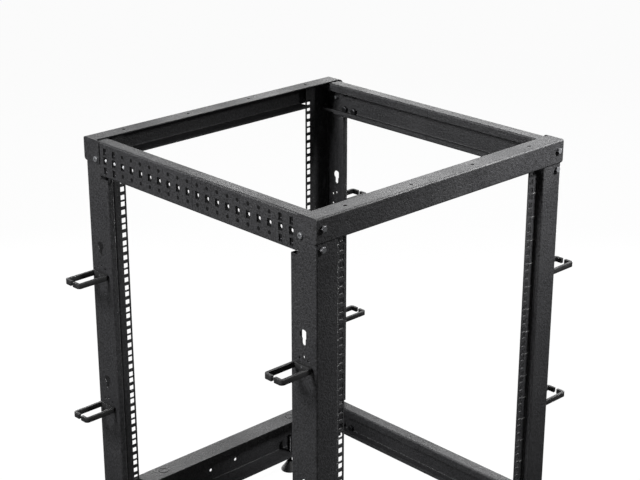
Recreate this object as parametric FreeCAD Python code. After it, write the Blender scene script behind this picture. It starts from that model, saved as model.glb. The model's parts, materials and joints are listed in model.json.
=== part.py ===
# Four post open frame rack, 19 inch, 15 rack units high.
# Frame: X across the rack to its right, Y from the front to the rear,
# Z up from the floor. The origin is on the floor, at the middle of the plan.
import FreeCAD
import Part
import math
import os

# ---- driving dimensions, mm ----
rack_width = 600.0
rack_depth = 600.0
rack_units = 15
unit_height = 44.45

# 19 inch mounting pattern
opening_width = 450.0
hole_inset = 7.55
square_hole = 9.5
unit_hole_z = (6.35, 22.225, 38.1)
flange_width = 25.0
flange_plane_y = 15.0

sheet = 2.0
bend_radius = 2.5
fit_gap = 0.15
cut_over = 1.0

# cross beams, front and rear
top_beam_height = 43.0
top_beam_depth = 34.0
bottom_beam_height = 84.5
bottom_beam_depth = 44.0
beam_to_units = 2.1
wrap_depth = 44.0
beam_flange_reach = 222.0
plate_corner_radius = 6.0
beam_holes = 4
beam_hole_pitch = 149.0
beam_hole_y = 16.2
beam_hole_d = 6.5
web_hole_x = 33.3
web_hole_up = 25.0
web_hole_d = 7.0

# posts
post_side = 60.0
post_lip = 14.0
post_return = 12.0
post_end_gap = 4.0
notch_gap = 5.4

# depth beams: two outer halves on one inner sleeve
side_beam_height = 63.0
side_beam_depth = 28.0
side_beam_end = 44.3
side_top_drop = 2.0
side_low_rise = 4.5
tongue_lap = 4.0
upper_lip = 15.5
lower_lip = 10.0
end_corner_radius = 8.0
seam_gap = 0.8
sleeve_end = 8.0
sleeve_lower_lip = 7.0

# perforation of the depth beams
hole_pitch = 25.4
hole_columns = 20
upper_row_drop = 13.5
slot_row_drop = 32.0
lower_row_drop = 48.5
slot_width = 9.5
slot_height = 14.0
small_hole_d = 5.8
sleeve_hole_d = 7.0
end_slot_height = 13.0
end_slot_width = 8.0
end_slot_rise = 3.5
bolt_columns = 2
upper_bolt_drop = 19.0
lower_bolt_drop = 54.0

# cable hooks
hook_count = 2
hook_drop = 251.5
hook_units = 6
hook_height = 9.5
hook_length = 67.0
hook_width = 43.0
hook_wall = 3.5
hook_gap = 6.0
hook_side_y = 31.5
hook_tip_radius = 5.0
hook_root_radius = 2.5
hook_dimple_d = 4.0
hook_dimple_depth = 1.5

# holes of a post around a hook
keyhole_drop = 200.8
keyhole_d = 17.0
keyhole_slot = 8.5
keyhole_slot_end = 14.6
pin_hole_d = 4.6
pin_holes = ((-10.2, 7.75), (0.0, 12.25), (10.2, 7.75), (-10.2, -12.75), (10.2, -12.75))
round_sides = 14
small_sides = 8

# levelling feet
foot_clearance = 42.0
foot_x = 169.0
foot_in = 21.0
foot_radius = 18.5
foot_rim = 3.0
foot_neck_radius = 6.0
foot_cone_top = 21.0
foot_sides = 24
stud_sides = 12
stud_radius = 5.0
stud_length = 60.0
lock_nut_flats = 17.0
lock_nut_height = 6.0

# fasteners
hex_flats = 10.0
hex_head = 4.5
shank_d = 6.0
shank_length = 9.0
bolt_in = 14.0
upper_bolts = (18.0, 53.0)
lower_bolts = (17.0, 66.0)
side_screw_in = 35.0
side_screw_drop = 35.0

# ---- derived sizes ----
half_w = rack_width / 2.0
half_d = rack_depth / 2.0
half_opening = opening_width / 2.0
hole_column_x = half_opening + hole_inset
units_span = rack_units * unit_height
low_beam_top = foot_clearance + bottom_beam_height
units_bottom = low_beam_top + beam_to_units
units_top = units_bottom + units_span
top_beam_bottom = units_top + beam_to_units
rack_height = top_beam_bottom + top_beam_height
top_side_z = rack_height - side_top_drop
low_side_z = low_beam_top + side_low_rise
post_bottom = foot_clearance + post_end_gap
post_top = rack_height - post_end_gap

V = FreeCAD.Vector


def line(a, b):
    return Part.LineSegment(a, b).toShape()


def plane_yz(x):
    return lambda a, b: V(x, a, b)


def plane_xz(y):
    return lambda a, b: V(a, y, b)


def plane_xy(z):
    return lambda a, b: V(a, b, z)


def sheet_face(path, thickness, radii, place):
    """Face of a folded sheet: middle line, thickness, bend radius at each bend."""
    count = len(path)
    dirs = []
    for i in range(count - 1):
        dx = path[i + 1][0] - path[i][0]
        dy = path[i + 1][1] - path[i][1]
        size = math.hypot(dx, dy)
        dirs.append((dx / size, dy / size))
    sides = []
    for sign in (1.0, -1.0):
        pieces = []
        h = sign * thickness / 2.0
        d = dirs[0]
        last = (path[0][0] - d[1] * h, path[0][1] + d[0] * h)
        start = last
        for i in range(1, count - 1):
            a = dirs[i - 1]
            b = dirs[i]
            r = radii[i - 1]
            px, py = path[i]
            t1 = (px - a[0] * r - a[1] * h, py - a[1] * r + a[0] * h)
            t2 = (px + b[0] * r - b[1] * h, py + b[1] * r + b[0] * h)
            c = (px + (b[0] - a[0]) * r, py + (b[1] - a[1]) * r)
            out = math.hypot(px - c[0], py - c[1])
            size = math.hypot(t1[0] - c[0], t1[1] - c[1])
            m = (c[0] + (px - c[0]) / out * size, c[1] + (py - c[1]) / out * size)
            pieces.append(("line", last, t1))
            pieces.append(("arc", t1, m, t2))
            last = t2
        d = dirs[-1]
        end = (path[-1][0] - d[1] * h, path[-1][1] + d[0] * h)
        pieces.append(("line", last, end))
        sides.append((start, pieces, end))
    edges = []
    for start, pieces, end in sides:
        for piece in pieces:
            pts = [place(p[0], p[1]) for p in piece[1:]]
            if piece[0] == "line":
                edges.append(line(pts[0], pts[1]))
            else:
                edges.append(Part.Arc(pts[0], pts[1], pts[2]).toShape())
    edges.append(line(place(*sides[0][0]), place(*sides[1][0])))
    edges.append(line(place(*sides[0][2]), place(*sides[1][2])))
    wire = Part.Wire(Part.__sortEdges__(edges))
    return Part.Face(wire)


def polygon_face(points, place):
    corners = [place(a, b) for a, b in points]
    corners.append(corners[0])
    return Part.Face(Part.makePolygon(corners))


def ring_points(a, b, diameter, sides):
    """Corners of a regular ring; its first flat faces the first direction."""
    points = []
    for i in range(sides):
        angle = math.pi * (2 * i + 1) / sides
        points.append((a + diameter / 2.0 * math.cos(angle), b + diameter / 2.0 * math.sin(angle)))
    return points


def rod(a, b, diameter, place, way, sides=small_sides):
    """Small round rod or hole cutter, drawn with few flats."""
    return polygon_face(ring_points(a, b, diameter, sides), place).extrude(way)


def box(x1, x2, y1, y2, z1, z2):
    low = V(min(x1, x2), min(y1, y2), min(z1, z2))
    return Part.makeBox(abs(x2 - x1), abs(y2 - y1), abs(z2 - z1), low)


def mirrored(shape, right, rear):
    """Front left shape brought to another corner."""
    out = shape
    if right:
        out = out.mirror(V(0, 0, 0), V(1, 0, 0))
    if rear:
        out = out.mirror(V(0, 0, 0), V(0, 1, 0))
    return out


def save(name, shape):
    shape.exportStep("parts/" + name + ".step")


# ---- fastener places on the front left corner ----
def front_bolt_levels():
    levels = [rack_height - drop for drop in upper_bolts]
    levels += [low_beam_top - drop for drop in lower_bolts]
    return levels


def side_screw_levels():
    return [rack_height - side_screw_drop, low_side_z + side_top_drop - side_screw_drop]


def drilled(shape):
    """Cuts the holes of the front bolts and side screws from a corner piece."""
    hole_d = shank_d + 2.0 * fit_gap
    x = -half_w + bolt_in
    y = -half_d + side_screw_in
    depth = 2.0 * sheet + 2.0 * cut_over
    tools = []
    for z in front_bolt_levels():
        tools.append(rod(x, z, hole_d, plane_xz(-half_d - cut_over), V(0, depth, 0)))
    for z in side_screw_levels():
        tools.append(rod(y, z, hole_d, plane_yz(-half_w - cut_over), V(depth, 0, 0)))
    return shape.cut(tools)


# ---- posts ----
def unit_hole_levels():
    levels = [units_bottom - unit_hole_z[0], units_top + unit_hole_z[0]]
    for unit in range(rack_units):
        for z in unit_hole_z:
            levels.append(units_bottom + unit * unit_height + z)
    return levels


def hook_levels():
    levels = []
    for k in range(hook_count):
        levels.append(rack_height - hook_drop - k * hook_units * unit_height)
    return levels


def hook_holes(z_hook):
    """Cutters for the keyhole above a hook and the pin holes around it."""
    x = -half_w - cut_over
    y = -half_d + hook_side_y
    z = z_hook + hook_drop - keyhole_drop
    way = V(2.0 * sheet + 2.0 * cut_over, 0, 0)
    slot = box(x, x + way.x, y - keyhole_slot / 2.0, y + keyhole_slot / 2.0, z - keyhole_slot_end, z)
    tools = [
        rod(y, z, keyhole_d, plane_yz(x), way, round_sides),
        rod(y, z - keyhole_slot_end, keyhole_slot, plane_yz(x), way, round_sides),
        slot,
    ]
    for dy, dz in pin_holes:
        tools.append(rod(y + dy, z_hook + dz, pin_hole_d, plane_yz(x), way))
    return tools


def post():
    """Front left post: one folded sheet with its mounting flange."""
    half = sheet / 2.0
    x_side = -half_w + sheet + half
    y_front = -half_d + sheet + half
    x_step = -half_opening - flange_width - half
    y_flange = -half_d + flange_plane_y
    y_lip = -half_d + sheet + post_side - half
    x_return = -half_w + sheet + post_lip - half
    path = [
        (-half_opening, y_flange),
        (x_step, y_flange),
        (x_step, y_front),
        (x_side, y_front),
        (x_side, y_lip),
        (x_return, y_lip),
        (x_return, y_lip + half - post_return),
    ]
    radii = [bend_radius] * (len(path) - 2)
    body = sheet_face(path, sheet, radii, plane_xy(post_bottom))
    body = body.extrude(V(0, 0, post_top - post_bottom))
    h = square_hole / 2.0
    cut = half + cut_over
    tools = []
    for z in unit_hole_levels():
        y1 = y_flange - cut
        y2 = y_flange + cut
        tools.append(box(-hole_column_x - h, -hole_column_x + h, y1, y2, z - h, z + h))
    x1 = -half_w - cut_over
    x2 = -half_w + side_beam_depth
    y1 = -half_d + wrap_depth
    y2 = y_lip + half + cut_over
    upper = top_side_z - side_beam_height - notch_gap
    lower = low_side_z + notch_gap
    tools.append(box(x1, x2, y1, y2, upper, rack_height))
    tools.append(box(x1, x2, y1, y2, foot_clearance, lower))
    for z in hook_levels():
        tools += hook_holes(z)
    return drilled(body.cut(tools))


# ---- front and rear cross beams ----
def rounded_face(a0, a1, b0, b1, radii, place):
    """Rectangle with a radius at each corner: low low, high low, high high, low high."""
    corners = [(a0, b0, 1, 1), (a1, b0, -1, 1), (a1, b1, -1, -1), (a0, b1, 1, -1)]
    edges = []
    last = None
    for index, (a, b, da, db) in enumerate(corners):
        r = radii[index]
        k = r * (1 - math.sqrt(0.5))
        along_a = (a + da * r, b)
        along_b = (a, b + db * r)
        first, second = (along_b, along_a) if index % 2 == 0 else (along_a, along_b)
        if last is None:
            start = first
        else:
            edges.append(line(place(*last), place(*first)))
        edges.append(Part.Arc(place(*first), place(a + da * k, b + db * k), place(*second)).toShape())
        last = second
    edges.append(line(place(*last), place(*start)))
    return Part.Face(Part.Wire(edges))


def end_plate(height, z_top):
    """Plate that wraps a beam's end round the post; its fold side follows the folds."""
    fold = bend_radius + sheet / 2.0
    free = plate_corner_radius
    y0 = -half_d
    y1 = -half_d + wrap_depth
    radii = [free, free, free, fold]
    face = rounded_face(y0, y1, z_top - height, z_top, radii, plane_yz(-half_w))
    return face.extrude(V(sheet, 0, 0))


def web_corner(height, z_top):
    """Cutter that rounds the lower end of a beam's web where its end plate turns back."""
    r = plate_corner_radius
    z0 = z_top - height
    x0 = -half_w
    y0 = -half_d - cut_over
    way = V(0, sheet + cut_over, 0)
    block = box(x0 - cut_over, x0 + r, y0, y0 + way.y, z0 - cut_over, z0 + r)
    return block.cut(Part.makeCylinder(r, way.y, V(x0 + r, y0, z0 + r), way))


def cross_beam(height, depth, z_top, trim_top):
    """Front beam: a channel open to the rear, its ends wrapped round the posts.

    The flange that the posts would meet, upper or lower, stops short of them.
    """
    half = sheet / 2.0
    y_in = -half_d + depth
    y_web = -half_d + half
    path = [
        (y_in, z_top - half),
        (y_web, z_top - half),
        (y_web, z_top - height + half),
        (y_in, z_top - height + half),
    ]
    face = sheet_face(path, sheet, [bend_radius] * 2, plane_yz(-half_w))
    body = face.extrude(V(rack_width, 0, 0))
    flange = sheet + bend_radius
    z0 = z_top - flange if trim_top else z_top - height - cut_over
    y_cut = -half_d + sheet
    trims = []
    for side in (-1, 1):
        x0 = side * beam_flange_reach
        x1 = side * (half_w + cut_over)
        trims.append(box(x0, x1, y_cut, y_in + cut_over, z0, z0 + flange + cut_over))
    corner = web_corner(height, z_top)
    body = body.cut(trims + [corner, corner.mirror(V(0, 0, 0), V(1, 0, 0))])
    left = end_plate(height, z_top)
    right = left.mirror(V(0, 0, 0), V(1, 0, 0))
    body = body.fuse([left, right]).removeSplitter()
    return drilled(mirrored(drilled(body), True, False))


def top_cross_beam():
    body = cross_beam(top_beam_height, top_beam_depth, rack_height, False)
    depth = sheet + 2.0 * cut_over
    tools = []
    for k in range(beam_holes):
        x = (k - (beam_holes - 1) / 2.0) * beam_hole_pitch
        at = V(x, -half_d + beam_hole_y, rack_height - sheet - cut_over)
        tools.append(Part.makeCylinder(beam_hole_d / 2.0, depth, at))
    return body.cut(tools)


def bottom_cross_beam():
    body = cross_beam(bottom_beam_height, bottom_beam_depth, low_beam_top, True)
    depth = sheet + 2.0 * cut_over
    y_web = -half_d - cut_over
    z_web = foot_clearance + web_hole_up
    z_flange = foot_clearance - cut_over
    y_foot = -half_d + foot_in
    stud_hole = 2.0 * (stud_radius + fit_gap)
    tools = []
    for side in (-1, 1):
        tools.append(rod(side * web_hole_x, z_web, web_hole_d, plane_xz(y_web), V(0, depth, 0)))
        foot_hole = ring_points(side * foot_x, y_foot, stud_hole, stud_sides)
        tools.append(polygon_face(foot_hole, plane_xy(z_flange)).extrude(V(0, 0, depth)))
    return body.cut(tools)


# ---- depth beams ----
def column_positions():
    first = -hole_pitch * (hole_columns - 1) / 2.0
    return [first + k * hole_pitch for k in range(hole_columns)]


def end_columns():
    """Columns at a depth beam's front end that hold its bolts."""
    return column_positions()[:bolt_columns]


def side_beam_half(z_top, tongue):
    """Front half of the left outer depth beam: lipped channel with three hole rows.

    Its web lies in the plane of the posts' sides. An upper beam's top flange runs on
    as a tongue under the flange of the cross beam.
    """
    half = sheet / 2.0
    x_out = -half_w + sheet + half
    x_in = -half_w + side_beam_depth - half
    z_low = z_top - side_beam_height
    path = [
        (x_in, z_top - upper_lip),
        (x_in, z_top - half),
        (x_out, z_top - half),
        (x_out, z_low + half),
        (x_in, z_low + half),
        (x_in, z_low + lower_lip),
    ]
    y0 = -half_d + side_beam_end
    y1 = -seam_gap / 2.0
    y_tip = -half_d + top_beam_depth - tongue_lap if tongue else y0
    face = sheet_face(path, sheet, [bend_radius] * 4, plane_xz(y_tip))
    body = face.extrude(V(0, y1 - y_tip, 0))
    x_cut = -half_w - cut_over
    if tongue:
        x_far = -half_w + side_beam_depth + cut_over
        under = box(x_cut, x_far, y_tip - cut_over, y0, z_low - cut_over, z_top - sheet)
        body = body.cut(under)
    r = end_corner_radius
    way = V(side_beam_depth + 2.0 * cut_over, 0, 0)
    corner = box(x_cut, x_cut + way.x, y0 - cut_over, y0 + r, z_low - cut_over, z_low + r)
    tools = [corner.cut(Part.makeCylinder(r, way.x, V(x_cut, y0 + r, z_low + r), way))]
    depth = 2.0 * sheet + 2.0 * cut_over
    for y in column_positions():
        if y > 0:
            continue
        slots = [(slot_width, slot_height, z_top - slot_row_drop)]
        if y in end_columns():
            for drop in (upper_bolt_drop, lower_bolt_drop):
                slots.append((end_slot_width, end_slot_height, z_top - drop + end_slot_rise))
        else:
            for drop in (upper_row_drop, lower_row_drop):
                hole = rod(y, z_top - drop, small_hole_d, plane_yz(x_cut), V(depth, 0, 0), 6)
                tools.append(hole)
        for w, h, z in slots:
            tools.append(box(x_cut, x_cut + depth, y - w / 2, y + w / 2, z - h / 2, z + h / 2))
    return body.cut(tools)


def sleeve(z_top, perforated):
    """Inner sleeve that both outer halves slide on; it runs from post to post."""
    half = sheet / 2.0
    x_out = -half_w + 2.0 * sheet + half
    x_in = -half_w + side_beam_depth - sheet - half
    z_up = z_top - sheet
    z_low = z_top - side_beam_height + sheet
    path = [
        (x_in, z_top - upper_lip),
        (x_in, z_up - half),
        (x_out, z_up - half),
        (x_out, z_low + half),
        (x_in, z_low + half),
        (x_in, z_low + sleeve_lower_lip),
    ]
    y0 = -half_d + sleeve_end
    face = sheet_face(path, sheet, [bend_radius] * 4, plane_xz(y0))
    body = face.extrude(V(0, -2.0 * y0, 0))
    plane = plane_yz(-half_w + 2.0 * sheet - cut_over)
    way = V(sheet + 2.0 * cut_over, 0, 0)
    tools = []
    if perforated:
        for y in column_positions():
            tools.append(rod(y, z_top - slot_row_drop, sleeve_hole_d, plane, way))
    for y in end_columns():
        for drop in (upper_bolt_drop, lower_bolt_drop):
            for side in (1, -1):
                tools.append(rod(side * y, z_top - drop, shank_d + 2.0 * fit_gap, plane, way))
    return body.cut(tools)


# ---- cable hooks ----
def hook(z_top):
    """Open ring that lies flat and stands out from the left front post."""
    half = hook_wall / 2.0
    x_base = -half_w + sheet - half
    x_tip = -half_w + sheet - hook_length + half
    y_mid = -half_d + hook_side_y
    reach = hook_width / 2.0 - half
    path = [
        (x_tip, y_mid + hook_gap / 2.0),
        (x_tip, y_mid + reach),
        (x_base, y_mid + reach),
        (x_base, y_mid - reach),
        (x_tip, y_mid - reach),
        (x_tip, y_mid - hook_gap / 2.0),
    ]
    radii = [hook_tip_radius, hook_root_radius, hook_root_radius, hook_tip_radius]
    face = sheet_face(path, hook_wall, radii, plane_xy(z_top - hook_height))
    body = face.extrude(V(0, 0, hook_height))
    x = x_base - half - cut_over
    way = V(hook_dimple_depth + cut_over, 0, 0)
    return body.cut(rod(y_mid, z_top - hook_height / 2.0, hook_dimple_d, plane_yz(x), way))


# ---- feet ----
def foot():
    """Foot pad of the front left corner: a low rim under a cone."""
    x = -foot_x
    y = -half_d + foot_in
    rings = []
    for z, radius in ((0.0, foot_radius), (foot_rim, foot_radius), (foot_cone_top, foot_neck_radius)):
        rings.append([V(a, b, z) for a, b in ring_points(x, y, 2.0 * radius, foot_sides)])
    faces = [Part.Face(Part.makePolygon(ring + ring[:1])) for ring in (rings[0], rings[-1])]
    for low, high in zip(rings, rings[1:]):
        for i in range(foot_sides):
            corners = [low[i - 1], low[i], high[i], high[i - 1], low[i - 1]]
            faces.append(Part.Face(Part.makePolygon(corners)))
    return Part.Solid(Part.Shell(faces))


def foot_stud():
    """Stud of the front left foot with the lock nut under the beam."""
    x = -foot_x
    y = -half_d + foot_in
    corners_d = lock_nut_flats / math.cos(math.pi / 6)
    z_nut = foot_clearance - lock_nut_height
    stud = ring_points(x, y, 2.0 * stud_radius, stud_sides)
    stud = polygon_face(stud, plane_xy(foot_cone_top)).extrude(V(0, 0, stud_length))
    nut = polygon_face(ring_points(x, y, corners_d, 6), plane_xy(z_nut))
    return stud.fuse(nut.extrude(V(0, 0, lock_nut_height))).removeSplitter()


# ---- fasteners ----
def front_bolts():
    """Hex bolts of the front left corner, from the upper beam to the lower."""
    corners_d = hex_flats / math.cos(math.pi / 6)
    x = -half_w + bolt_in
    solids = []
    for z in front_bolt_levels():
        on_post = low_beam_top < z < rack_height - top_beam_height
        y = -half_d + sheet if on_post else -half_d
        head = polygon_face(ring_points(x, z, corners_d, 6), plane_xz(y)).extrude(V(0, -hex_head, 0))
        shank = rod(x, z, shank_d, plane_xz(y), V(0, shank_length, 0))
        solids.append(head.fuse(shank).removeSplitter())
    return solids


os.makedirs("parts", exist_ok=True)

corners = (
    ("front_left", False, False),
    ("front_right", True, False),
    ("rear_left", False, True),
    ("rear_right", True, True),
)

one_post = post()
one_foot = foot()
one_stud = foot_stud()
for name, right, rear in corners:
    save("post_" + name, mirrored(one_post, right, rear))
    save("foot_" + name, mirrored(one_foot, right, rear))
    save("foot_stud_" + name, mirrored(one_stud, right, rear))
    for word, z in zip(("upper", "lower"), hook_levels()):
        save("hook_" + word + "_" + name, mirrored(hook(z), right, rear))

for word, beam in (("top", top_cross_beam()), ("bottom", bottom_cross_beam())):
    save("beam_" + word + "_front", beam)
    save("beam_" + word + "_rear", mirrored(beam, False, True))

for word, z in (("top", top_side_z), ("bottom", low_side_z)):
    outer = side_beam_half(z, word == "top")
    for name, right, rear in corners:
        save("side_" + word + "_" + name, mirrored(outer, right, rear))
    save("sleeve_" + word + "_left", sleeve(z, True))
    save("sleeve_" + word + "_right", mirrored(sleeve(z, False), True, False))

left_bolts = front_bolts()
bolts = left_bolts + [mirrored(solid, True, False) for solid in left_bolts]
save("bolts_front", Part.makeCompound(bolts))
save("bolts_rear", mirrored(Part.makeCompound(bolts), False, True))
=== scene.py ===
import bpy
import bmesh
import json
import math
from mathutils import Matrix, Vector


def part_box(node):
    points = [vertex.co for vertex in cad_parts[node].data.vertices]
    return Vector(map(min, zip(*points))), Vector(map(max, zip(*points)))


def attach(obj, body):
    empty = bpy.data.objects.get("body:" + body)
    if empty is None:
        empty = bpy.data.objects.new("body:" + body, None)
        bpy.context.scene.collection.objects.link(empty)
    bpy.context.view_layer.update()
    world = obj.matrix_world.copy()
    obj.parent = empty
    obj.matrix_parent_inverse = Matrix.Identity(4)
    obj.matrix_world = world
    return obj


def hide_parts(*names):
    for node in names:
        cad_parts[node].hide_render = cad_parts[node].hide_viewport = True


# Four post open frame rack, dressed over its solids: coats, fasteners, printed marks, feet and studio.
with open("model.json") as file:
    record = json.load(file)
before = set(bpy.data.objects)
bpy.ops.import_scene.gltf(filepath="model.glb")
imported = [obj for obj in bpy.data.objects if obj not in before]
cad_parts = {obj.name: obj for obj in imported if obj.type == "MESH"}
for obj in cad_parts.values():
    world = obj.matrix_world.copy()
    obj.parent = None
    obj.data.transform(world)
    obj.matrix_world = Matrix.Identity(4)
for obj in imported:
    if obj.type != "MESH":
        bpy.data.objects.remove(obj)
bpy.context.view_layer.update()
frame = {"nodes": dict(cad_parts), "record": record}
nodes = frame["nodes"]
mm = 0.001
sheet = 2.0 * mm
halfRack = 300.0 * mm
corners = {
    "front_left": (-1, -1),
    "front_right": (1, -1),
    "rear_left": (-1, 1),
    "rear_right": (1, 1),
}


# sRGB hex to linear.
def linear(hexText):
    channels = []
    for start in (1, 3, 5):
        value = int(hexText[start:start + 2], 16) / 255.0
        if value <= 0.04045:
            channels.append(value / 12.92)
        else:
            channels.append(((value + 0.055) / 1.055) ** 2.4)
    return (channels[0], channels[1], channels[2], 1.0)


# Adds a node with its settings. An input takes a value, a socket, a node for its first output, or a
# list of these where it takes several links.
def addNode(tree, kind, inputs=None, **settings):
    node = tree.nodes.new(kind)
    for name, value in settings.items():
        setattr(node, name, value)
    for key, value in (inputs or {}).items():
        for source in value if isinstance(value, list) else [value]:
            if isinstance(source, bpy.types.Node):
                source = source.outputs[0]
            if isinstance(source, bpy.types.NodeSocket):
                tree.links.new(source, node.inputs[key])
            else:
                node.inputs[key].default_value = source
    return node


def newMaterial(name):
    material = bpy.data.materials.new(name)
    material.use_nodes = True
    material.node_tree.nodes.clear()
    return material, material.node_tree


def dress(obj, material):
    obj.data.materials.clear()
    obj.data.materials.append(material)


def linkMesh(name, mesh):
    obj = bpy.data.objects.new(name, mesh)
    bpy.context.scene.collection.objects.link(obj)
    return obj


# A noise seldom leaves this span, so it is stretched from there to the full one.
noiseLow, noiseHigh = 0.3, 0.7

# Polyester powder coat, baked to a fine sand texture: matt black. Its grit is drawn as bumps and, in the
# same pattern, as a tone with lighter crests: partly the coat's own mottle, partly painted glints where
# the grit would catch the lamps. The real grit is near 0.4 mm; it is drawn coarser so that it shows.
powderCoat = {
    "valley": "#121213",
    "crestGlint": "#2b2b2d",
    "toneLow": 0.75,
    "toneHigh": 1.25,
    "gritMm": 4.2,
    "fleckMm": 2.2,
    "driftMm": 90.0,
    "reliefMm": 1.1,
    "relief": 0.7,
    "roughLow": 0.48,
    "roughHigh": 0.62,
    "gloss": 0.5,
}
# A dull, deep black without shine: painted shade. On the left sleeves it darkens what shows through the
# depth beams' slots; it also draws the discs in the small holes and the plugs' seals.
shadeAndSealCoat = dict(powderCoat, valley="#060606", crestGlint="#0d0d0e", roughLow=0.72, roughHigh=0.82,
                   gloss=0.12)
# The right sleeves have the full coat inside. Outside, where the halves slide over them and they show
# through the slots, they are painted near black and dull: painted shade.
paintedShadeOutsideCoat = dict(powderCoat, paintedShadeOutsideFromX=295.4 * mm, paintedShadeOutsideRough=0.95, paintedShadeOutsideTone="#020202")


def powderCoatMaterial(name, look):
    material, tree = newMaterial(name)
    place = addNode(tree, "ShaderNodeTexCoord").outputs["Object"]
    grit = addNode(tree, "ShaderNodeTexNoise", {"Vector": place, "Scale": 1.0 / (look["gritMm"] * mm)})
    fleck = addNode(tree, "ShaderNodeTexNoise", {"Vector": place, "Scale": 1.0 / (look["fleckMm"] * mm),
                                                 "Detail": 1.0})
    drift = addNode(tree, "ShaderNodeTexNoise", {"Vector": place, "Scale": 1.0 / (look["driftMm"] * mm)})
    both = addNode(tree, "ShaderNodeMath", {0: grit, 1: fleck}, operation="ADD")
    share = addNode(tree, "ShaderNodeMapRange", {"Value": both, "From Min": look["toneLow"],
                                                 "From Max": look["toneHigh"]})
    # The tone follows the grit's height: the crests are painted lighter, as glints of the lamps on them.
    tone = addNode(tree, "ShaderNodeMix", {0: share, 6: linear(look["valley"]),
                                           7: linear(look["crestGlint"])}, data_type="RGBA").outputs[2]
    rough = addNode(tree, "ShaderNodeMapRange", {"Value": drift, "From Min": noiseLow,
                                                 "From Max": noiseHigh, "To Min": look["roughLow"],
                                                 "To Max": look["roughHigh"]})
    # Outward of the given x the tone is painted near black: painted shade on the sleeves' outer faces.
    if "paintedShadeOutsideFromX" in look:
        across = addNode(tree, "ShaderNodeSeparateXYZ", {0: place}).outputs["X"]
        outward = addNode(tree, "ShaderNodeMath", {0: across, 1: 0.0}, operation="ABSOLUTE")
        paintedShadeOutside = addNode(tree, "ShaderNodeMath", {0: outward, 1: look["paintedShadeOutsideFromX"]},
                         operation="GREATER_THAN")
        tone = addNode(tree, "ShaderNodeMix", {0: paintedShadeOutside, 6: tone, 7: linear(look["paintedShadeOutsideTone"])},
                       data_type="RGBA").outputs[2]
        dull = addNode(tree, "ShaderNodeMath", {0: paintedShadeOutside, 1: look["paintedShadeOutsideRough"]}, operation="MULTIPLY")
        rough = addNode(tree, "ShaderNodeMath", {0: rough, 1: dull}, operation="MAXIMUM")
    relief = addNode(tree, "ShaderNodeBump", {"Height": both, "Strength": look["relief"],
                                              "Distance": look["reliefMm"] * mm})
    skin = addNode(tree, "ShaderNodeBsdfPrincipled", {"Base Color": tone, "Roughness": rough,
                                                      "Normal": relief,
                                                      "Specular IOR Level": look["gloss"]})
    addNode(tree, "ShaderNodeOutputMaterial", {"Surface": skin})
    return material


# Moulded polyamide of the cable rings and feet: black, satin, with the fine grain of an eroded mould.
mouldedBlack = {
    "low": "#0e0e0f",
    "high": "#1b1b1c",
    "grainMm": 0.9,
    "flowMm": 14.0,
    "reliefMm": 0.05,
    "relief": 0.5,
    "roughLow": 0.55,
    "roughHigh": 0.68,
}


def mouldedMaterial(name, look):
    material, tree = newMaterial(name)
    place = addNode(tree, "ShaderNodeTexCoord").outputs["Object"]
    grain = addNode(tree, "ShaderNodeTexNoise", {"Vector": place, "Scale": 1.0 / (look["grainMm"] * mm)})
    flow = addNode(tree, "ShaderNodeTexNoise", {"Vector": place, "Scale": 1.0 / (look["flowMm"] * mm),
                                                "Detail": 1.0})
    share = addNode(tree, "ShaderNodeMapRange", {"Value": flow, "From Min": noiseLow,
                                                 "From Max": noiseHigh})
    tone = addNode(tree, "ShaderNodeMix", {0: share, 6: linear(look["low"]), 7: linear(look["high"])},
                   data_type="RGBA").outputs[2]
    rough = addNode(tree, "ShaderNodeMapRange", {"Value": grain, "From Min": noiseLow,
                                                 "From Max": noiseHigh, "To Min": look["roughLow"],
                                                 "To Max": look["roughHigh"]})
    relief = addNode(tree, "ShaderNodeBump", {"Height": grain, "Strength": look["relief"],
                                              "Distance": look["reliefMm"] * mm})
    skin = addNode(tree, "ShaderNodeBsdfPrincipled", {"Base Color": tone, "Roughness": rough,
                                                      "Normal": relief})
    addNode(tree, "ShaderNodeOutputMaterial", {"Surface": skin})
    return material


# Plated steel, with a soft spangle and cloudy roughness. Black zinc on the bolts is a dark, faintly
# glossy metal. Their flat tops get a film of zinc flake, a dull mid grey that scatters light like paint:
# a painted highlight for the light their faces catch. The side screws are in the same zinc flake.
zincFlakeAndHighlight = {
    "low": "#565759",
    "high": "#6a6b6d",
    "spangleMm": 2.0,
    "grainMm": 0.5,
    "reliefMm": 0.03,
    "relief": 0.4,
    "metallic": 0.3,
    "roughLow": 0.4,
    "roughHigh": 0.55,
}
blackZinc = {
    "low": "#4c4c4e",
    "high": "#6e6e70",
    "spangleMm": 2.2,
    "grainMm": 0.5,
    "reliefMm": 0.02,
    "relief": 0.4,
    "metallic": 0.85,
    "roughLow": 0.32,
    "roughHigh": 0.5,
}
# A darker copy of black zinc, for the bolts inside the depth beams: painted shade, as those heads sit in
# the channels' shade.
paintedShadeBlackZinc = dict(blackZinc, low="#29292b", high="#3d3d3f")
paleZincFlake = dict(zincFlakeAndHighlight, low="#a6a7a9", high="#bdbec0")
# The studs of the feet are black oxide over steel: nearly as dark as the coat, with a metal's shine.
blackOxide = dict(blackZinc, low="#161617", high="#232324")


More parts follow.
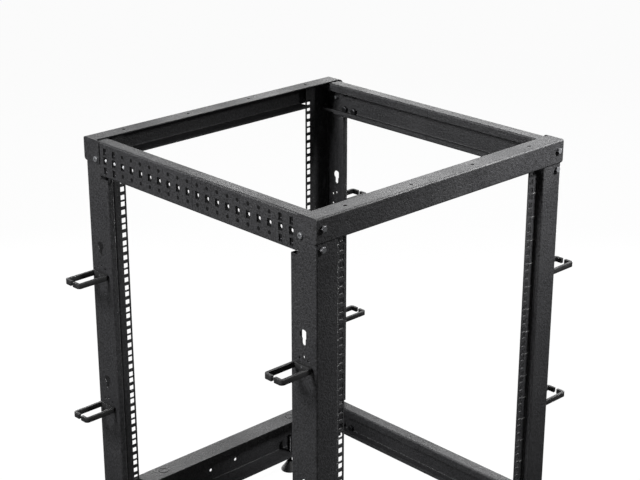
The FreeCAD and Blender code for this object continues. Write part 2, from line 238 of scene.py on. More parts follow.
def platedMaterial(name, look):
    material, tree = newMaterial(name)
    place = addNode(tree, "ShaderNodeTexCoord").outputs["Object"]
    spangle = addNode(tree, "ShaderNodeTexNoise", {"Vector": place,
                                                   "Scale": 1.0 / (look["spangleMm"] * mm)})
    grain = addNode(tree, "ShaderNodeTexNoise", {"Vector": place, "Scale": 1.0 / (look["grainMm"] * mm),
                                                 "Detail": 1.0})
    share = addNode(tree, "ShaderNodeMapRange", {"Value": spangle, "From Min": noiseLow,
                                                 "From Max": noiseHigh})
    tone = addNode(tree, "ShaderNodeMix", {0: share, 6: linear(look["low"]), 7: linear(look["high"])},
                   data_type="RGBA").outputs[2]
    rough = addNode(tree, "ShaderNodeMapRange", {"Value": spangle, "From Min": noiseLow,
                                                 "From Max": noiseHigh, "To Min": look["roughHigh"],
                                                 "To Max": look["roughLow"]})
    relief = addNode(tree, "ShaderNodeBump", {"Height": grain, "Strength": look["relief"],
                                              "Distance": look["reliefMm"] * mm})
    skin = addNode(tree, "ShaderNodeBsdfPrincipled", {"Base Color": tone, "Roughness": rough,
                                                      "Normal": relief, "Metallic": look["metallic"]})
    addNode(tree, "ShaderNodeOutputMaterial", {"Surface": skin})
    return material


# Screen printed epoxy ink of the unit marks: a thin pale grey film, a little worn at its edges.
markInk = {"worn": "#4f4f50", "full": "#8d8d8c", "wearMm": 1.6, "wearLow": 0.35, "wearHigh": 0.6,
           "rough": 0.55}


def inkMaterial(name, look):
    material, tree = newMaterial(name)
    place = addNode(tree, "ShaderNodeTexCoord").outputs["Object"]
    wear = addNode(tree, "ShaderNodeTexNoise", {"Vector": place, "Scale": 1.0 / (look["wearMm"] * mm)})
    share = addNode(tree, "ShaderNodeMapRange", {"Value": wear, "From Min": look["wearLow"],
                                                 "From Max": look["wearHigh"]})
    tone = addNode(tree, "ShaderNodeMix", {0: share, 6: linear(look["worn"]), 7: linear(look["full"])},
                   data_type="RGBA").outputs[2]
    skin = addNode(tree, "ShaderNodeBsdfPrincipled", {"Base Color": tone, "Roughness": look["rough"]})
    addNode(tree, "ShaderNodeOutputMaterial", {"Surface": skin})
    return material


coat = powderCoatMaterial("sandTexturePowderCoat", powderCoat)
moulded = mouldedMaterial("mouldedPolyamide", mouldedBlack)
shadeAndSealFinish = powderCoatMaterial("dullBlackPaintedShadeAndSealCoat", shadeAndSealCoat)
paintedShadeOutsideFinish = powderCoatMaterial("paintedShadeOutsidePowderCoat", paintedShadeOutsideCoat)
boltFinish = platedMaterial("blackZincSteel", blackZinc)
paintedShadeBoltFinish = platedMaterial("paintedShadeBlackZincSteel", paintedShadeBlackZinc)
flakeAndHighlightFinish = platedMaterial("zincFlakeAndHighlightSteel", zincFlakeAndHighlight)
rivetFinish = platedMaterial("paleZincFlakeRivets", paleZincFlake)
footStudFinish = platedMaterial("blackOxideSteel", blackOxide)
ink = inkMaterial("screenPrintInk", markInk)

slotFinish = {
    "frame_powder_coat": coat,
    "hook_plastic": moulded,
    "foot_plastic": moulded,
    "zinc_steel": footStudFinish,
    "black_fastener": boltFinish,
}
for part in frame["record"]["subparts"]:
    dress(nodes[part["node"]], slotFinish[part["material_slot"]])
for level in ("top", "bottom"):
    # The left sleeves are dark as painted shade behind the slots; the right ones are painted dark only
    # outside.
    dress(nodes["sleeve_" + level + "_left"], shadeAndSealFinish)
    dress(nodes["sleeve_" + level + "_right"], paintedShadeOutsideFinish)
print("materials: coat, moulded plastic, plated steel and ink on", len(nodes), "solids")


# Geometry Nodes: a new tree with one named input for each size.
def newTree(name, sizes):
    tree = bpy.data.node_groups.new(name, "GeometryNodeTree")
    tree.interface.new_socket("Geometry", in_out="INPUT", socket_type="NodeSocketGeometry")
    for label in sizes:
        tree.interface.new_socket(label, in_out="INPUT", socket_type="NodeSocketFloat")
    tree.interface.new_socket("Material", in_out="INPUT", socket_type="NodeSocketMaterial")
    tree.interface.new_socket("Geometry", in_out="OUTPUT", socket_type="NodeSocketGeometry")
    return tree, addNode(tree, "NodeGroupInput").outputs


def drum(tree, sides, lowRadius, highRadius, depth, base):
    cone = addNode(tree, "GeometryNodeMeshCone", {"Vertices": sides, "Radius Bottom": lowRadius,
                                                  "Radius Top": highRadius, "Depth": depth})
    offset = addNode(tree, "ShaderNodeCombineXYZ", {"Z": base})
    return addNode(tree, "GeometryNodeTransform", {"Geometry": cone, "Translation": offset})


# Drums stacked as a dome; a step is a share of the height and the share of the radius there.
def domeRings(tree, sides, radius, height, steps):
    rings = []
    for (low, wide), (high, narrow) in zip(steps, steps[1:]):
        sizes = []
        for size, share in ((radius, wide), (radius, narrow), (height, high - low), (height, low)):
            sizes.append(addNode(tree, "ShaderNodeMath", {0: size, 1: share}, operation="MULTIPLY"))
        rings.append(drum(tree, sides, *sizes))
    return rings


# The radius of a hexagon's corners and of its flats.
def hexRadii(tree, acrossFlats):
    corner = addNode(tree, "ShaderNodeMath", {0: acrossFlats, 1: math.sqrt(3.0)}, operation="DIVIDE")
    flat = addNode(tree, "ShaderNodeMath", {0: acrossFlats, 1: 2.0}, operation="DIVIDE")
    return corner, flat


# Puts the shape on each point, along that point's way.
def placeCopies(tree, group, shape):
    way = addNode(tree, "GeometryNodeInputNamedAttribute", {"Name": "way"}, data_type="FLOAT_VECTOR")
    aim = addNode(tree, "FunctionNodeAlignRotationToVector", {"Vector": way}, axis="Z")
    copies = addNode(tree, "GeometryNodeInstanceOnPoints", {"Points": group["Geometry"],
                                                            "Instance": shape, "Rotation": aim})
    real = addNode(tree, "GeometryNodeRealizeInstances", {"Geometry": copies})
    coated = addNode(tree, "GeometryNodeSetMaterial", {"Geometry": real, "Material": group["Material"]})
    addNode(tree, "NodeGroupOutput", {"Geometry": coated})


# Runs a tree on points and keeps the result as a plain mesh.
def grow(name, tree, sizes, points, material):
    mesh = bpy.data.meshes.new(name + "Points")
    mesh.from_pydata([point[0] for point in points], [], [])
    way = mesh.attributes.new("way", "FLOAT_VECTOR", "POINT")
    for item, point in zip(way.data, points):
        item.vector = point[1]
    seed = linkMesh(name + "Seed", mesh)
    modifier = seed.modifiers.new("grow", "NODES")
    modifier.node_group = tree
    values = dict(sizes, Material=material)
    for socket in tree.interface.items_tree:
        if socket.in_out == "INPUT" and socket.name in values:
            modifier[socket.identifier] = values[socket.name]
    graph = bpy.context.evaluated_depsgraph_get()
    plain = bpy.data.meshes.new_from_object(seed.evaluated_get(graph))
    bpy.data.objects.remove(seed)
    piece = linkMesh(name, plain)
    dress(piece, material)
    return piece


# Hexagon bolts of the cross beams, on a washer face.
hexBolt = {
    "Across Flats": 10.0 * mm,
    "Head Height": 4.3 * mm,
    "Washer Radius": 5.0 * mm,
    "Washer Height": 0.4 * mm,
    "Chamfer": 0.4 * mm,
    "Shank Radius": 3.0 * mm,
    "Shank Length": 8.8 * mm,
    "Tip": 0.8 * mm,
}
boltSides = {"washer": 24, "hex": 6, "shank": 16}


def hexBoltTree():
    tree, group = newTree("hexBolt", hexBolt)
    washerRadius, washer, chamfer = group["Washer Radius"], group["Washer Height"], group["Chamfer"]
    shankRadius, shank, tip = group["Shank Radius"], group["Shank Length"], group["Tip"]
    corner, flat = hexRadii(tree, group["Across Flats"])
    bare = addNode(tree, "ShaderNodeMath", {0: group["Head Height"], 1: washer}, operation="SUBTRACT")
    body = addNode(tree, "ShaderNodeMath", {0: bare, 1: chamfer}, operation="SUBTRACT")
    top = addNode(tree, "ShaderNodeMath", {0: body, 1: washer}, operation="ADD")
    stem = addNode(tree, "ShaderNodeMath", {0: shank, 1: tip}, operation="SUBTRACT")
    tipRadius = addNode(tree, "ShaderNodeMath", {0: shankRadius, 1: tip}, operation="SUBTRACT")
    down = addNode(tree, "ShaderNodeMath", {0: stem, 1: -1.0}, operation="MULTIPLY")
    end = addNode(tree, "ShaderNodeMath", {0: shank, 1: -1.0}, operation="MULTIPLY")
    shape = addNode(tree, "GeometryNodeJoinGeometry", {0: [
        drum(tree, boltSides["washer"], washerRadius, washerRadius, washer, 0.0),
        drum(tree, boltSides["hex"], corner, corner, body, washer),
        drum(tree, boltSides["hex"], corner, flat, chamfer, top),
        drum(tree, boltSides["shank"], shankRadius, shankRadius, stem, down),
        drum(tree, boltSides["shank"], tipRadius, shankRadius, tip, end),
    ]})
    placeCopies(tree, group, shape)
    return tree


boltTree = hexBoltTree()
frontBolts = {"in": 14.0 * mm, "upperDrops": (18.0 * mm, 53.0 * mm),
              "lowerDrops": (17.0 * mm, 66.0 * mm)}


def beamBoltPoints(sy):
    word = "front" if sy < 0 else "rear"
    points = []
    for level, drops in (("top", frontBolts["upperDrops"]), ("bottom", frontBolts["lowerDrops"])):
        low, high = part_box("beam_" + level + "_" + word)
        face = low.y if sy < 0 else high.y
        for drop in drops:
            z = high.z - drop
            onPost = level == "top" and z < low.z
            y = face - sy * sheet if onPost else face
            for sx in (-1, 1):
                points.append((Vector((sx * (high.x - frontBolts["in"]), y, z)), Vector((0, sy, 0))))
    return points


# The flat top of each head, in a paler film: a painted highlight on the face that catches the light.
boltTopHighlight = {"Across Flats": 8.6 * mm, "Film": 0.2 * mm}


def boltTopHighlightTree():
    tree, group = newTree("boltTopHighlight", boltTopHighlight)
    corner = hexRadii(tree, group["Across Flats"])[0]
    placeCopies(tree, group, drum(tree, boltSides["hex"], corner, corner, group["Film"], 0.0))
    return tree


topHighlightTree = boltTopHighlightTree()
for sy, word in ((-1, "front"), (1, "rear")):
    points = beamBoltPoints(sy)
    bolts = grow("hexBolts_" + word, boltTree, hexBolt, points, boltFinish)
    lifted = [(at + way * hexBolt["Head Height"], way) for at, way in points]
    topHighlights = grow("hexBoltTopHighlights_" + word, topHighlightTree, boltTopHighlight, lifted, flakeAndHighlightFinish)
    for piece in (bolts, topHighlights):
        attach(piece, "root")
        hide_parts("bolts_" + word)

# The depth beams' bolts: heads inside the sleeve, ends in the long slots at both ends of each beam.
depthBolts = {"pitch": 25.4 * mm, "columns": (8.5, 9.5), "drops": (19.0 * mm, 54.0 * mm),
              "web": 2.0 * sheet}


# The outer side of a depth beam, moved inward.
def webX(box, sx, inward):
    low, high = box
    return high.x - inward if sx > 0 else low.x + inward


def depthBoltPoints():
    points = []
    for level in ("top", "bottom"):
        for side, sx in (("left", -1), ("right", 1)):
            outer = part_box("side_" + level + "_front_" + side)
            x = webX(outer, sx, depthBolts["web"])
            for column in depthBolts["columns"]:
                for drop in depthBolts["drops"]:
                    for sy in (-1, 1):
                        at = Vector((x, sy * column * depthBolts["pitch"], outer[1].z - drop))
                        points.append((at, Vector((-sx, 0, 0))))
    return points


innerBolt = dict(hexBolt)
innerBolt["Across Flats"] = 11.5 * mm
innerBolt["Head Height"] = 6.2 * mm
innerBolt["Washer Radius"] = 7.0 * mm
innerBolt["Shank Length"] = 3.2 * mm
# The depth beams' bolts take the darker copy of black zinc: painted shade.
innerBolts = grow("depthBeamBolts", boltTree, innerBolt, depthBoltPoints(), paintedShadeBoltFinish)
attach(innerBolts, "root")

# Rivets that hold the sleeves' rear ends, seen through the rearmost slots of the upper depth beams.
sleeveRivet = {"Radius": 3.0 * mm, "Height": 0.9 * mm}
sleeveRivetPlace = {"columns": (7.5, 8.5, 9.5), "drop": 32.0 * mm}
domeSteps = ((0.0, 1.0), (0.45, 0.92), (0.8, 0.66), (1.0, 0.3))
domeSides = 16


def domeTree(name, sizes):
    tree, group = newTree(name, sizes)
    rings = domeRings(tree, domeSides, group["Radius"], group["Height"], domeSteps)
    placeCopies(tree, group, addNode(tree, "GeometryNodeJoinGeometry", {0: rings}))
    return tree


rivetPoints = []
for side, sx in (("left", -1), ("right", 1)):
    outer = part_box("side_top_rear_" + side)
    x = webX(outer, sx, sheet)
    for column in sleeveRivetPlace["columns"]:
        at = Vector((x, column * depthBolts["pitch"], outer[1].z - sleeveRivetPlace["drop"]))
        rivetPoints.append((at, Vector((sx, 0, 0))))
sleeveRivets = grow("sleeveRivets", domeTree("sleeveRivet", sleeveRivet), sleeveRivet, rivetPoints,
                    rivetFinish)
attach(sleeveRivets, "root")

# Dull black discs in the small round holes of the depth beams, with a brim as thin as the coat: painted
# shade that stands for the dark inside of each hole.
holeShadeDisc = {"Radius": 3.5 * mm, "Thickness": 0.24 * mm}
holeShadePlace = {"columns": 16, "drops": (13.5 * mm, 48.5 * mm), "below": 0.1 * mm}
holeShadeSides = 12


def holeShadeDiscTree():
    tree, group = newTree("holeShadeDisc", holeShadeDisc)
    disc = drum(tree, holeShadeSides, group["Radius"], group["Radius"], group["Thickness"], 0.0)
    placeCopies(tree, group, disc)
    return tree


holeShadePoints = []
for level in ("top", "bottom"):
    for side, sx in (("left", -1), ("right", 1)):
        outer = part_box("side_" + level + "_front_" + side)
        x = webX(outer, sx, holeShadePlace["below"])
        for column in range(holeShadePlace["columns"]):
            y = (column - (holeShadePlace["columns"] - 1) / 2.0) * depthBolts["pitch"]
            for drop in holeShadePlace["drops"]:
                holeShadePoints.append((Vector((x, y, outer[1].z - drop)), Vector((sx, 0, 0))))
holeShades = grow("holeShadeDiscs", holeShadeDiscTree(), holeShadeDisc, holeShadePoints, shadeAndSealFinish)
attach(holeShades, "root")

# Round headed screws on the end plates' sides, with a hexagon key hole.
sideScrew = {
    "Head Radius": 5.5 * mm,
    "Head Height": 3.4 * mm,
    "Key Radius": 2.0 * mm,
    "Key Depth": 2.2 * mm,
    "Shank Radius": 3.0 * mm,
    "Shank Length": 12.0 * mm,
}
sideScrewPlace = {"in": 35.0 * mm, "drop": 35.0 * mm}
sideScrewSteps = ((0.0, 1.0), (0.5, 1.0), (0.78, 0.92), (0.94, 0.76), (1.0, 0.5))
sideScrewSides = {"head": 24, "key": 6, "shank": 16}


def sideScrewTree():
    tree, group = newTree("sideScrew", sideScrew)
    height, keyRadius = group["Head Height"], group["Key Radius"]
    shankRadius, shankLength = group["Shank Radius"], group["Shank Length"]
    rings = domeRings(tree, sideScrewSides["head"], group["Head Radius"], height, sideScrewSteps)
    keyFloor = addNode(tree, "ShaderNodeMath", {0: height, 1: group["Key Depth"]}, operation="SUBTRACT")
    key = drum(tree, sideScrewSides["key"], keyRadius, keyRadius, height, keyFloor)
    end = addNode(tree, "ShaderNodeMath", {0: shankLength, 1: -1.0}, operation="MULTIPLY")
    shank = drum(tree, sideScrewSides["shank"], shankRadius, shankRadius, shankLength, end)
    cut = []
    for ring in rings:
        cut.append(addNode(tree, "GeometryNodeMeshBoolean", {"Mesh 1": ring, "Mesh 2": key},
                           operation="DIFFERENCE"))
    placeCopies(tree, group, addNode(tree, "GeometryNodeJoinGeometry", {0: cut + [shank]}))
    return tree


def sideScrewPoints():
    points = []
    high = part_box("beam_top_front")[1]
    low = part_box("side_bottom_front_left")[1]
    for z in (high.z - sideScrewPlace["drop"], low.z + sheet - sideScrewPlace["drop"]):
        for sx, sy in corners.values():
            at = Vector((sx * high.x, sy * (halfRack - sideScrewPlace["in"]), z))
            points.append((at, Vector((sx, 0, 0))))
    return points


screws = grow("sideScrews", sideScrewTree(), sideScrew, sideScrewPoints(), flakeAndHighlightFinish)
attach(screws, "root")
print("fasteners: hex bolts and side screws")

# Printed unit marks on the flanges, one bar at each unit line.
unitMarks = {
    "Units": 15.0,
    "Unit Height": 44.45 * mm,
    "Mark Width": 11.5 * mm,
    "Mark Height": 1.1 * mm,
    "Mark Film": 0.08 * mm,
}
markPlace = {"x": 243.5 * mm, "faceY": 286.0 * mm, "bottom": 128.6 * mm}


def unitMarkTree():
    tree, group = newTree("unitMarks", unitMarks)
    count = addNode(tree, "ShaderNodeMath", {0: group["Units"], 1: 1.0}, operation="ADD")
    rise = addNode(tree, "ShaderNodeCombineXYZ", {"Z": group["Unit Height"]})
    column = addNode(tree, "GeometryNodeMeshLine", {"Count": count, "Offset": rise})
    size = addNode(tree, "ShaderNodeCombineXYZ", {"X": group["Mark Width"], "Y": group["Mark Film"],
                                                  "Z": group["Mark Height"]})
    bar = addNode(tree, "GeometryNodeMeshCube", {"Size": size})
    ladder = addNode(tree, "GeometryNodeInstanceOnPoints", {"Points": column,
                                                            "Instance": bar})
    placeCopies(tree, group, ladder)
    return tree


markPoints = []
for sx, sy in corners.values():
    at = Vector((sx * markPlace["x"], sy * markPlace["faceY"], markPlace["bottom"]))
    markPoints.append((at, Vector((0, 0, 1))))
marks = grow("unitMarks", unitMarkTree(), unitMarks, markPoints, ink)
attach(marks, "root")
print("unit marks: 16 on each flange")


turnedSharp = 38.0    # degrees, above which a turned edge stays sharp


# A turned piece: rings of the profile, closed at both ends.
def turned(name, profile, centre, sides, material):
    shell = bmesh.new()
    rings = []
    for radius, z in profile:
        ring = []
        for k in range(sides):
            turn = 2.0 * math.pi * k / sides
            place = Vector((radius * math.cos(turn), radius * math.sin(turn), z))
            ring.append(shell.verts.new(centre + place))
        rings.append(ring)
    for lower, upper in zip(rings, rings[1:]):
        for k in range(sides):
            shell.faces.new((lower[k - 1], lower[k], upper[k], upper[k - 1]))
    shell.faces.new(list(reversed(rings[0])))
    shell.faces.new(rings[-1])
    bmesh.ops.recalc_face_normals(shell, faces=shell.faces)
    mesh = bpy.data.meshes.new(name)
    shell.to_mesh(mesh)
    shell.free()
    piece = linkMesh(name, mesh)
    mesh.shade_smooth()
    mesh.set_sharp_from_angle(angle=math.radians(turnedSharp))
    dress(piece, material)
    return piece


footPad = {"radius": 18.3 * mm, "rim": 3.0 * mm, "edge": 0.8 * mm, "neck": 6.0 * mm, "top": 21.0 * mm,
           "sag": 0.8 * mm, "neckEase": 0.5 * mm, "neckDrop": 0.4 * mm, "edgeSteps": 3, "coneSteps": 6,
           "sides": 48}
footStud = {"radius": 4.8 * mm, "pitch": 1.5 * mm, "depth": 0.7 * mm, "runOut": 0.5 * mm, "sides": 32}


# The pad's cone is hollowed a little between its rim and its neck.
def footProfile():
    radius, rim, edge = footPad["radius"], footPad["rim"], footPad["edge"]
    profile = [(radius - edge, 0.0)]
    for k in range(1, footPad["edgeSteps"] + 1):
        lift = math.pi / 2.0 * k / footPad["edgeSteps"]
        profile.append((radius - edge + edge * math.sin(lift), edge - edge * math.cos(lift)))
    profile.append((radius, rim - edge * 0.5))
    profile.append((radius - edge * 0.6, rim))
    for k in range(1, footPad["coneSteps"]):
        along = k / footPad["coneSteps"]
        sag = footPad["sag"] * math.sin(math.pi * along)
        profile.append((radius + (footPad["neck"] - radius) * along - sag,
                        rim + (footPad["top"] - rim) * along))
    profile.append((footPad["neck"], footPad["top"] - footPad["neckDrop"]))
    profile.append((footPad["neck"] - footPad["neckEase"], footPad["top"]))
    return profile


def studProfile(low, high):
    profile = [(footStud["radius"] - footStud["depth"], low)]
    z = low
    while z + footStud["pitch"] < high - footStud["runOut"]:
        profile.append((footStud["radius"], z + footStud["pitch"] * 0.5))
        profile.append((footStud["radius"] - footStud["depth"], z + footStud["pitch"]))
        z += footStud["pitch"]
    profile.append((footStud["radius"] - footStud["depth"], high))
    return profile


lockNut = {"Across Flats": 17.0 * mm, "Height": 6.0 * mm, "Chamfer": 0.8 * mm}
lockNutLift = 15.0 * mm


def lockNutTree():
    tree, group = newTree("lockNut", lockNut)
    height, chamfer = group["Height"], group["Chamfer"]
    corner, flat = hexRadii(tree, group["Across Flats"])
    top = addNode(tree, "ShaderNodeMath", {0: height, 1: chamfer}, operation="SUBTRACT")
    body = addNode(tree, "ShaderNodeMath", {0: top, 1: chamfer}, operation="SUBTRACT")
    shape = addNode(tree, "GeometryNodeJoinGeometry", {0: [
        drum(tree, boltSides["hex"], flat, corner, chamfer, 0.0),
        drum(tree, boltSides["hex"], corner, corner, body, chamfer),
        drum(tree, boltSides["hex"], corner, flat, chamfer, top),
    ]})
    placeCopies(tree, group, shape)
    return tree


nutPoints = []
for corner in corners:
    low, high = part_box("foot_" + corner)
    centre = Vector(((low.x + high.x) / 2.0, (low.y + high.y) / 2.0, 0.0))
    pad = turned("footPad_" + corner, footProfile(), centre, footPad["sides"], moulded)
    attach(pad, "root")
    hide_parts("foot_" + corner)
    low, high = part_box("foot_stud_" + corner)
    stud = turned("threadedStud_" + corner, studProfile(low.z, high.z), centre, footStud["sides"],
                  footStudFinish)
    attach(stud, "root")
    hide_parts("foot_stud_" + corner)
    nutPoints.append((centre + Vector((0, 0, low.z + lockNutLift)), Vector((0, 0, 1))))
nuts = grow("lockNuts", lockNutTree(), lockNut, nutPoints, boltFinish)
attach(nuts, "root")
print("feet: turned pads, threaded studs and lock nuts")

# Plugs above the feet, pressed into the lower cross beams with a dark seal round each.
plug = {"radius": 8.6 * mm, "rise": 0.5 * mm, "dish": 0.2 * mm, "lip": 0.9 * mm, "seal": 1.1 * mm,
        "sealRise": 0.15 * mm, "sides": 40}
for corner, (sx, sy) in corners.items():
    low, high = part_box("foot_" + corner)
    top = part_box("beam_bottom_" + ("front" if sy < 0 else "rear"))[1].z
    centre = Vector(((low.x + high.x) / 2.0, (low.y + high.y) / 2.0, top))
    profile = [
        (plug["radius"], -plug["rise"]),
        (plug["radius"], plug["rise"] * 0.6),
        (plug["radius"] - plug["lip"] * 0.5, plug["rise"]),
        (plug["radius"] - plug["lip"], plug["rise"]),
        (plug["radius"] - plug["lip"] * 1.7, plug["dish"]),
        (plug["lip"] * 0.3, plug["dish"]),
    ]
    cover = turned("footPlug_" + corner, profile, centre, plug["sides"], coat)
    sealRadius = plug["radius"] + plug["seal"]
    sealProfile = [(sealRadius, -plug["rise"]), (sealRadius, plug["sealRise"]),
                   (plug["lip"] * 0.3, plug["sealRise"])]
    seal = turned("footPlugSeal_" + corner, sealProfile, centre, plug["sides"], shadeAndSealFinish)
    for piece in (cover, seal):
        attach(piece, "root")
print("plugs above the feet")

# Cable rings: flat open rings with eased edges, riveted to the posts.
cableRing = {"wall": 5.6 * mm, "gap": 6.0 * mm, "tipRadius": 3.6 * mm, "rootRadius": 3.2 * mm,
             "easedEdge": 0.7 * mm, "easeSteps": 2, "easeFrom": 40.0, "sharpFrom": 50.0, "arcSteps": 5}


def roundedPath(points, radii, steps):
    path = [points[0]]
    for before, corner, after, radius in zip(points, points[1:], points[2:], radii):
        inward = (before - corner).normalized()
        onward = (after - corner).normalized()
        centre = corner + (inward + onward) * radius
        for k in range(steps + 1):
            turn = math.pi / 2.0 * k / steps
            path.append(centre - onward * radius * math.cos(turn) - inward * radius * math.sin(turn))
    path.append(points[-1])
    return path


def offsetPath(path, shift):
    moved = []
    for k, point in enumerate(path):
        ahead = path[min(k + 1, len(path) - 1)] - point
        behind = point - path[max(k - 1, 0)]
        along = (ahead.normalized() + behind.normalized()).normalized()
        moved.append(point + Vector((-along.y, along.x)) * shift)
    return moved


def ringMesh(name, low, high, sx):
    half = cableRing["wall"] / 2.0
    reach = (high.y - low.y) / 2.0 - half
    tip = high.x - low.x - half
    gap = cableRing["gap"] / 2.0
    turns = ((tip, gap), (tip, reach), (half, reach), (half, -reach), (tip, -reach), (tip, -gap))
    line = [Vector(at) for at in turns]
    tipRadius, rootRadius = cableRing["tipRadius"], cableRing["rootRadius"]
    radii = [tipRadius, rootRadius, rootRadius, tipRadius]
    path = roundedPath(line, radii, cableRing["arcSteps"])
    outline = offsetPath(path, half) + list(reversed(offsetPath(path, -half)))
    root = low.x if sx > 0 else high.x
    middle = (low.y + high.y) / 2.0
    shell = bmesh.new()
    layers = []
    for z in (low.z, high.z):
        layers.append([shell.verts.new((root + sx * at.x, middle + at.y, z)) for at in outline])
    shell.faces.new(layers[0])
    shell.faces.new(layers[1])
    for k in range(len(outline)):
        shell.faces.new((layers[0][k - 1], layers[0][k], layers[1][k], layers[1][k - 1]))
    bmesh.ops.recalc_face_normals(shell, faces=shell.faces)
    mesh = bpy.data.meshes.new(name)
    shell.to_mesh(mesh)
    shell.free()
    return mesh


def easedCopy(name, mesh):
    rough = linkMesh(name + "Rough", mesh)
    bevel = rough.modifiers.new("ease", "BEVEL")
    bevel.width = cableRing["easedEdge"]
    bevel.segments = cableRing["easeSteps"]
    bevel.angle_limit = math.radians(cableRing["easeFrom"])
    graph = bpy.context.evaluated_depsgraph_get()
    plain = bpy.data.meshes.new_from_object(rough.evaluated_get(graph))
    bpy.data.objects.remove(rough)
    plain.shade_smooth()
    plain.set_sharp_from_angle(angle=math.radians(cableRing["sharpFrom"]))
    return linkMesh(name, plain)


ringRivet = {"Radius": 2.6 * mm, "Height": 0.9 * mm}
ringRivetPoints = []
for corner, (sx, sy) in corners.items():
    for level in ("upper", "lower"):
        low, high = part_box("hook_" + level + "_" + corner)
        name = "cableRing_" + level + "_" + corner
        ring = easedCopy(name, ringMesh(name, low, high, sx))
        dress(ring, moulded)
        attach(ring, "root")
        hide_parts("hook_" + level + "_" + corner)
        face = (low.x if sx > 0 else high.x) + sx * cableRing["wall"]
        at = Vector((face, (low.y + high.y) / 2.0, (low.z + high.z) / 2.0))
        ringRivetPoints.append((at, Vector((sx, 0, 0))))
rivets = grow("ringRivets", domeTree("ringRivet", ringRivet), ringRivet, ringRivetPoints, boltFinish)
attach(rivets, "root")
print("cable rings: eight, each with its rivet")

# Studio: a pale matt floor, a white surround and five soft lamps.
studio = {
    "floorSize": 14.0,
    "cloudMm": 900.0,
    "floorLow": "#999999",
    "floorHigh": "#a3a3a3",
    "floorSeen": "#ffffff",
    "floorGlow": 0.96,
    "fill": 0.08,
    "floorMirror": 0.08,
    "mirrorLow": 0.05,
    "mirrorHigh": 1.0,
    "backdropWay": (0.77, 0.59, 0.3),
    "backdropEdge": (0.6, 0.95),
}


# Whether a ray comes straight from the camera, and whether by a mirror or glass.
def rayKinds(tree):
    paths = addNode(tree, "ShaderNodeLightPath")
    mirrored = addNode(tree, "ShaderNodeMath", {0: paths.outputs["Is Glossy Ray"],
                                                1: paths.outputs["Is Transmission Ray"]},
                       operation="MAXIMUM")
    return paths.outputs["Is Camera Ray"], mirrored


def makeFloor():
    material, tree = newMaterial("paleStudioFloor")
    place = addNode(tree, "ShaderNodeTexCoord").outputs["Object"]
    cloud = addNode(tree, "ShaderNodeTexNoise", {"Vector": place,
                                                 "Scale": 1.0 / (studio["cloudMm"] * mm)})
    share = addNode(tree, "ShaderNodeMapRange", {"Value": cloud, "From Min": noiseLow,
                                                 "From Max": noiseHigh})
    tone = addNode(tree, "ShaderNodeMix", {0: share, 6: linear(studio["floorLow"]),
                                           7: linear(studio["floorHigh"])}, data_type="RGBA").outputs[2]
    straight, mirrored = rayKinds(tree)
    seen = addNode(tree, "ShaderNodeMix", {0: straight, 6: tone, 7: linear(studio["floorSeen"])},
                   data_type="RGBA").outputs[2]
    matt = addNode(tree, "ShaderNodeBsdfDiffuse", {"Color": seen})
    dimmed = addNode(tree, "ShaderNodeMath", {0: mirrored, 1: studio["floorMirror"]},
                     operation="MULTIPLY")
    strength = addNode(tree, "ShaderNodeMath", {0: straight, 1: dimmed}, operation="MAXIMUM")
    glow = addNode(tree, "ShaderNodeEmission", {"Strength": strength})
    either = addNode(tree, "ShaderNodeMath", {0: straight, 1: mirrored}, operation="MAXIMUM")
    part = addNode(tree, "ShaderNodeMath", {0: either, 1: studio["floorGlow"]}, operation="MULTIPLY")
    mix = addNode(tree, "ShaderNodeMixShader", {0: part, 1: matt, 2: glow})
    addNode(tree, "ShaderNodeOutputMaterial", {"Surface": mix})
    half = studio["floorSize"] / 2.0
    mesh = bpy.data.meshes.new("studioFloor")
    mesh.from_pydata([(-half, -half, 0), (half, -half, 0), (half, half, 0), (-half, half, 0)], [],
                     [(0, 1, 2, 3)])
    floor = linkMesh("studioFloor", mesh)
    dress(floor, material)


# Everything that the camera sees straight is white. Glossy surfaces see the white backdrop behind the
# rack and a dim room elsewhere, so that upright faces stay dark and faces seen at a low angle shine.
def makeWorld():
    world = bpy.data.worlds.new("studioWorld")
    bpy.context.scene.world = world
    world.use_nodes = True
    tree = world.node_tree
    tree.nodes.clear()
    way = addNode(tree, "ShaderNodeTexCoord").outputs["Generated"]
    toward = Vector(studio["backdropWay"]).normalized()
    facing = addNode(tree, "ShaderNodeVectorMath", {0: way, 1: tuple(toward)}, operation="DOT_PRODUCT")
    low, high = studio["backdropEdge"]
    glow = addNode(tree, "ShaderNodeMapRange", {"Value": facing.outputs["Value"], "From Min": low,
                                                "From Max": high, "To Min": studio["mirrorLow"],
                                                "To Max": studio["mirrorHigh"]})
    pure = linear("#ffffff")
    fill = addNode(tree, "ShaderNodeBackground", {"Color": pure, "Strength": studio["fill"]})
    white = addNode(tree, "ShaderNodeBackground", {"Color": pure, "Strength": 1.0})
    dim = addNode(tree, "ShaderNodeBackground", {"Color": pure, "Strength": glow})
    straight, mirrored = rayKinds(tree)
    mirror = addNode(tree, "ShaderNodeMixShader", {0: mirrored, 1: fill, 2: dim})
    mix = addNode(tree, "ShaderNodeMixShader", {0: straight, 1: mirror, 2: white})
    addNode(tree, "ShaderNodeOutputWorld", {"Surface": mix})


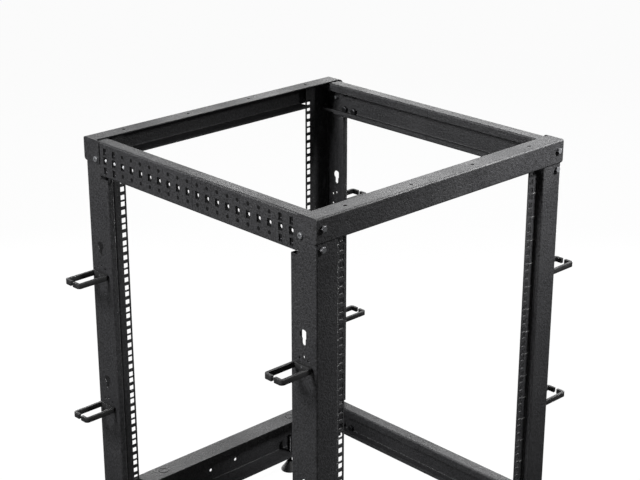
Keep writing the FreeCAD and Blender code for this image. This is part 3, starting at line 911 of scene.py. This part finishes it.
lamps = {
    "rightKey": {"at": (0.6, -0.8, 1.4), "aim": (0.12, -0.36, 0.6), "size": (0.2, 0.2), "power": 6.0,
                 "spread": 68.0},
    "leftKey": {"at": (-2.3, 0.28, 2.2), "aim": (0.0, 0.0, 0.6), "size": (0.8, 0.8), "power": 41.0,
                "spread": 100.0},
    "farRight": {"at": (2.4, 0.28, 0.62), "aim": (0.3, 0.0, 0.5), "size": (0.6, 0.3), "power": 16.0,
                 "spread": 100.0},
    "farRear": {"at": (0.26, 2.4, 0.62), "aim": (0.0, 0.3, 0.5), "size": (0.6, 0.3), "power": 16.0,
                "spread": 100.0},
    "backBox": {"at": (2.4, 2.1, 2.35), "aim": (0.0, 0.0, 0.84), "size": (1.5, 1.0), "power": 28.0,
                "spread": 150.0},
}


def makeLamp(name, lamp):
    data = bpy.data.lights.new(name, "AREA")
    data.shape = "RECTANGLE"
    data.size = lamp["size"][0]
    data.size_y = lamp["size"][1]
    data.energy = lamp["power"]
    data.spread = math.radians(lamp["spread"])
    obj = bpy.data.objects.new(name, data)
    bpy.context.scene.collection.objects.link(obj)
    obj.location = lamp["at"]
    obj.visible_camera = False
    toward = Vector(lamp["aim"]) - Vector(lamp["at"])
    obj.rotation_euler = toward.to_track_quat("-Z", "Y").to_euler()


view = {"at": (-1.8044, -1.8870, 1.63625), "down": 20.751, "heading": 43.608, "lens": 86.78,
        "sensor": 36.0, "farthest": 60.0}


def makeCamera():
    data = bpy.data.cameras.new("studioCamera")
    data.lens = view["lens"]
    data.sensor_width = view["sensor"]
    data.clip_end = view["farthest"]
    camera = bpy.data.objects.new("studioCamera", data)
    bpy.context.scene.collection.objects.link(camera)
    camera.location = view["at"]
    camera.rotation_euler = (math.radians(90.0 - view["down"]), 0.0, -math.radians(view["heading"]))
    bpy.context.scene.camera = camera


makeFloor()
makeWorld()
for lampName, lamp in lamps.items():
    makeLamp(lampName, lamp)
makeCamera()
bpy.context.scene.view_settings.view_transform = "Standard"
print("studio: floor, world, lamps and camera")
